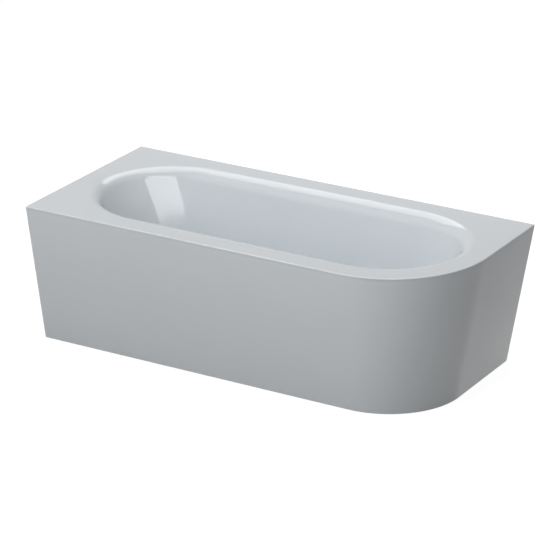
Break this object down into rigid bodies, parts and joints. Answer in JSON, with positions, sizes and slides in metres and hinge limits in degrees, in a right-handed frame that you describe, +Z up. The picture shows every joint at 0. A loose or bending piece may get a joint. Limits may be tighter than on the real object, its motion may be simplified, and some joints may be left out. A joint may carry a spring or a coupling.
{
  "type": "corner bathtub",
  "caption": "Corner bathtub of enamelled steel with a sloping seamless apron, one rounded free corner, levelling feet and a knob-operated pop-up waste.",
  "frame": {"origin": "centre of the footprint on the floor", "axes": "+X along the back wall towards the free end, +Y towards the back wall, +Z up"},
  "size_m": [1.75, 0.8, 0.575],
  "materials": {
    "enamel": "gloss",
    "enamel_underside": "satin",
    "zinc_steel": "satin",
    "fastener_steel": "satin",
    "chrome": "polished",
    "white_plastic": "satin",
    "grey_plastic": "satin",
    "black_plastic": "satin",
    "rubber": "matte",
    "bitumen": "matte",
    "cable_sheath": "satin"
  },
  "bodies": {
    "bath": {"bath_shell": "enamel", "apron": "enamel", "apron_bond_strip": "rubber", "floor_deadening": "bitumen", "wall_deadening": "bitumen", "apron_deadening": "bitumen", "cross_rail_left": "zinc_steel", "cross_rail_right": "zinc_steel", "rail_pads": "rubber", "rail_lugs": "enamel_underside", "rail_bolts": "fastener_steel", "rail_nuts": "fastener_steel", "foot_weld_nuts": "fastener_steel", "foot_lock_nuts": "fastener_steel", "front_braces": "zinc_steel", "end_brace": "zinc_steel", "brace_bolts": "fastener_steel", "brace_nuts": "fastener_steel", "apron_screws": "fastener_steel", "wall_anchors": "zinc_steel", "anchor_pads": "rubber", "anchor_clamp_screws": "fastener_steel", "earth_lug": "enamel_underside", "waste_flange": "chrome", "waste_flange_seal": "rubber", "waste_gasket": "rubber", "waste_body": "white_plastic", "lever_cover": "black_plastic", "trap_body": "white_plastic", "trap_union_nut": "white_plastic", "trap_outlet_nut": "white_plastic", "outlet_pipe": "grey_plastic", "overflow_faceplate": "chrome", "overflow_gasket": "rubber", "overflow_body": "white_plastic", "drum_cover": "black_plastic", "overflow_pipe": "grey_plastic", "overflow_pipe_nuts": "white_plastic", "bowden_cable": "cable_sheath"},
    "knob": {"overflow_knob": "chrome", "cable_drum": "black_plastic"},
    "plug": {"waste_plug": "chrome", "plug_seal": "rubber"},
    "lever": {"lift_lever": "fastener_steel"},
    "foot_front_left": {"foot_stem_front_left": "fastener_steel", "foot_base_front_left": "black_plastic", "foot_sole_front_left": "rubber"},
    "foot_back_left": {"foot_stem_back_left": "fastener_steel", "foot_base_back_left": "black_plastic", "foot_sole_back_left": "rubber"},
    "foot_front_right": {"foot_stem_front_right": "fastener_steel", "foot_base_front_right": "black_plastic", "foot_sole_front_right": "rubber"},
    "foot_back_right": {"foot_stem_back_right": "fastener_steel", "foot_base_back_right": "black_plastic", "foot_sole_back_right": "rubber"}
  },
  "joints": [
    {"name": "knob_turn", "type": "hinge", "parent": "bath", "child": "knob", "pos_m": [0, -0.25627, 0.48], "axis": [0, 0.9877, 0.1564], "range_deg": [0, 90]},
    {"name": "plug_lift", "type": "slide", "parent": "bath", "child": "plug", "axis": [0, 0, 1], "range_m": [0, 0.012]},
    {"name": "lever_turn", "type": "hinge", "parent": "bath", "child": "lever", "pos_m": [0, 0.01697, 0.118], "axis": [-1, 0, 0], "range_deg": [0, 40]},
    {"name": "foot_front_left_height", "type": "slide", "parent": "bath", "child": "foot_front_left", "axis": [0, 0, -1], "range_m": [-0.015, 0.025]},
    {"name": "foot_back_left_height", "type": "slide", "parent": "bath", "child": "foot_back_left", "axis": [0, 0, -1], "range_m": [-0.015, 0.025]},
    {"name": "foot_front_right_height", "type": "slide", "parent": "bath", "child": "foot_front_right", "axis": [0, 0, -1], "range_m": [-0.015, 0.025]},
    {"name": "foot_back_right_height", "type": "slide", "parent": "bath", "child": "foot_back_right", "axis": [0, 0, -1], "range_m": [-0.015, 0.025]}
  ],
  "couplings": [
    {"joint": "plug_lift", "follows": "knob_turn", "m_per_rad": 0.0076},
    {"joint": "lever_turn", "follows": "knob_turn", "ratio": 0.4444}
  ]
}
